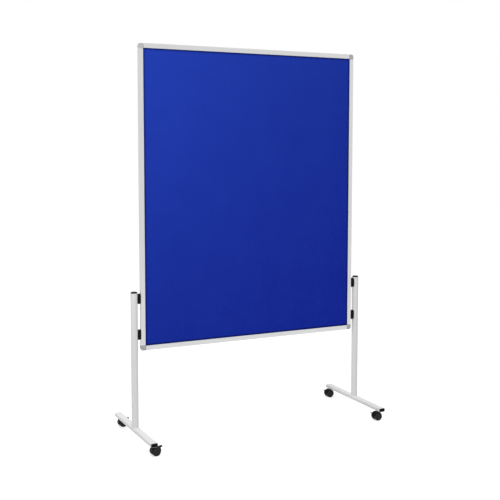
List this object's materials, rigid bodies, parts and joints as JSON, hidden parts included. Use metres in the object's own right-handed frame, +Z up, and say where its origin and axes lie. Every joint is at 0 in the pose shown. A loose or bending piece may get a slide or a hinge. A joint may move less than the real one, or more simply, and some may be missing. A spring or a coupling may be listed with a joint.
{
  "type": "mobile pinboard",
  "caption": "Free-standing mobile pinboard: felt panel in a slim metal frame, held between round posts on T-shaped feet with braked swivel castors.",
  "frame": {"origin": "on the floor under the centre of the board", "axes": "+X along the board to the right seen from the front, +Y from the front to the back, +Z up"},
  "size_m": [1.306, 0.567, 1.948],
  "materials": {
    "felt": "needled felt",
    "core_board": "raw fibre board",
    "frame": "satin anodised",
    "corner": "moulded grey",
    "stand_tube": "light grey powder coat",
    "black_plastic": "moulded black",
    "wheel": "moulded black",
    "steel": "zinc plated"
  },
  "bodies": {
    "stand": {"castor_bushes": "steel", "castor_front_left_stem": "steel", "castor_front_right_stem": "steel", "castor_rear_left_stem": "steel", "castor_rear_right_stem": "steel", "corner_bottom_left": "corner", "corner_bottom_right": "corner", "corner_top_left": "corner", "corner_top_right": "corner", "felt_back": "felt", "felt_front": "felt", "foot_bar_left": "stand_tube", "foot_bar_right": "stand_tube", "foot_cap_front_left": "black_plastic", "foot_cap_front_right": "black_plastic", "foot_cap_rear_left": "black_plastic", "foot_cap_rear_right": "black_plastic", "frame_bottom_rail": "frame", "frame_left_rail": "frame", "frame_right_rail": "frame", "frame_top_rail": "frame", "panel_core": "core_board", "post_bolts": "steel", "post_cap_left": "black_plastic", "post_cap_right": "black_plastic", "post_left": "stand_tube", "post_nuts": "steel", "post_plug_left": "black_plastic", "post_plug_right": "black_plastic", "post_right": "stand_tube", "saddle_left_lower": "black_plastic", "saddle_left_upper": "black_plastic", "saddle_right_lower": "black_plastic", "saddle_right_upper": "black_plastic", "saddle_screws": "steel"},
    "castor_front_left_swivel": {"castor_front_left_hood": "black_plastic", "castor_front_left_axle": "steel", "castor_front_left_lever_pin": "steel"},
    "castor_front_left_front_wheel": {"castor_front_left_front_wheel": "wheel"},
    "castor_front_left_rear_wheel": {"castor_front_left_rear_wheel": "wheel"},
    "castor_front_left_brake_lever": {"castor_front_left_brake_lever": "black_plastic"},
    "castor_rear_left_swivel": {"castor_rear_left_hood": "black_plastic", "castor_rear_left_axle": "steel", "castor_rear_left_lever_pin": "steel"},
    "castor_rear_left_front_wheel": {"castor_rear_left_front_wheel": "wheel"},
    "castor_rear_left_rear_wheel": {"castor_rear_left_rear_wheel": "wheel"},
    "castor_rear_left_brake_lever": {"castor_rear_left_brake_lever": "black_plastic"},
    "castor_front_right_swivel": {"castor_front_right_hood": "black_plastic", "castor_front_right_axle": "steel", "castor_front_right_lever_pin": "steel"},
    "castor_front_right_front_wheel": {"castor_front_right_front_wheel": "wheel"},
    "castor_front_right_rear_wheel": {"castor_front_right_rear_wheel": "wheel"},
    "castor_front_right_brake_lever": {"castor_front_right_brake_lever": "black_plastic"},
    "castor_rear_right_swivel": {"castor_rear_right_hood": "black_plastic", "castor_rear_right_axle": "steel", "castor_rear_right_lever_pin": "steel"},
    "castor_rear_right_front_wheel": {"castor_rear_right_front_wheel": "wheel"},
    "castor_rear_right_rear_wheel": {"castor_rear_right_rear_wheel": "wheel"},
    "castor_rear_right_brake_lever": {"castor_rear_right_brake_lever": "black_plastic"}
  },
  "joints": [
    {"name": "castor_front_left_swivel", "type": "hinge", "parent": "stand", "child": "castor_front_left_swivel", "pos_m": [-0.6355, -0.252, 0.035], "axis": [0, 0, 1], "continuous": true},
    {"name": "castor_front_left_front_wheel_spin", "type": "hinge", "parent": "castor_front_left_swivel", "child": "castor_front_left_front_wheel", "pos_m": [-0.6205, -0.252, 0.021], "axis": [0, 1, 0], "continuous": true},
    {"name": "castor_front_left_rear_wheel_spin", "type": "hinge", "parent": "castor_front_left_swivel", "child": "castor_front_left_rear_wheel", "pos_m": [-0.6205, -0.252, 0.021], "axis": [0, 1, 0], "continuous": true},
    {"name": "castor_front_left_brake", "type": "hinge", "parent": "castor_front_left_swivel", "child": "castor_front_left_brake_lever", "pos_m": [-0.60353, -0.252, 0.03797], "axis": [0, 1, 0], "range_deg": [0, 12]},
    {"name": "castor_rear_left_swivel", "type": "hinge", "parent": "stand", "child": "castor_rear_left_swivel", "pos_m": [-0.6355, 0.252, 0.035], "axis": [0, 0, 1], "continuous": true},
    {"name": "castor_rear_left_front_wheel_spin", "type": "hinge", "parent": "castor_rear_left_swivel", "child": "castor_rear_left_front_wheel", "pos_m": [-0.6205, 0.252, 0.021], "axis": [0, 1, 0], "continuous": true},
    {"name": "castor_rear_left_rear_wheel_spin", "type": "hinge", "parent": "castor_rear_left_swivel", "child": "castor_rear_left_rear_wheel", "pos_m": [-0.6205, 0.252, 0.021], "axis": [0, 1, 0], "continuous": true},
    {"name": "castor_rear_left_brake", "type": "hinge", "parent": "castor_rear_left_swivel", "child": "castor_rear_left_brake_lever", "pos_m": [-0.60353, 0.252, 0.03797], "axis": [0, 1, 0], "range_deg": [0, 12]},
    {"name": "castor_front_right_swivel", "type": "hinge", "parent": "stand", "child": "castor_front_right_swivel", "pos_m": [0.6355, -0.252, 0.035], "axis": [0, 0, 1], "continuous": true},
    {"name": "castor_front_right_front_wheel_spin", "type": "hinge", "parent": "castor_front_right_swivel", "child": "castor_front_right_front_wheel", "pos_m": [0.6205, -0.252, 0.021], "axis": [0, 1, 0], "continuous": true},
    {"name": "castor_front_right_rear_wheel_spin", "type": "hinge", "parent": "castor_front_right_swivel", "child": "castor_front_right_rear_wheel", "pos_m": [0.6205, -0.252, 0.021], "axis": [0, 1, 0], "continuous": true},
    {"name": "castor_front_right_brake", "type": "hinge", "parent": "castor_front_right_swivel", "child": "castor_front_right_brake_lever", "pos_m": [0.60353, -0.252, 0.03797], "axis": [0, -1, 0], "range_deg": [0, 12]},
    {"name": "castor_rear_right_swivel", "type": "hinge", "parent": "stand", "child": "castor_rear_right_swivel", "pos_m": [0.6355, 0.252, 0.035], "axis": [0, 0, 1], "continuous": true},
    {"name": "castor_rear_right_front_wheel_spin", "type": "hinge", "parent": "castor_rear_right_swivel", "child": "castor_rear_right_front_wheel", "pos_m": [0.6205, 0.252, 0.021], "axis": [0, 1, 0], "continuous": true},
    {"name": "castor_rear_right_rear_wheel_spin", "type": "hinge", "parent": "castor_rear_right_swivel", "child": "castor_rear_right_rear_wheel", "pos_m": [0.6205, 0.252, 0.021], "axis": [0, 1, 0], "continuous": true},
    {"name": "castor_rear_right_brake", "type": "hinge", "parent": "castor_rear_right_swivel", "child": "castor_rear_right_brake_lever", "pos_m": [0.60353, 0.252, 0.03797], "axis": [0, -1, 0], "range_deg": [0, 12]}
  ]
}
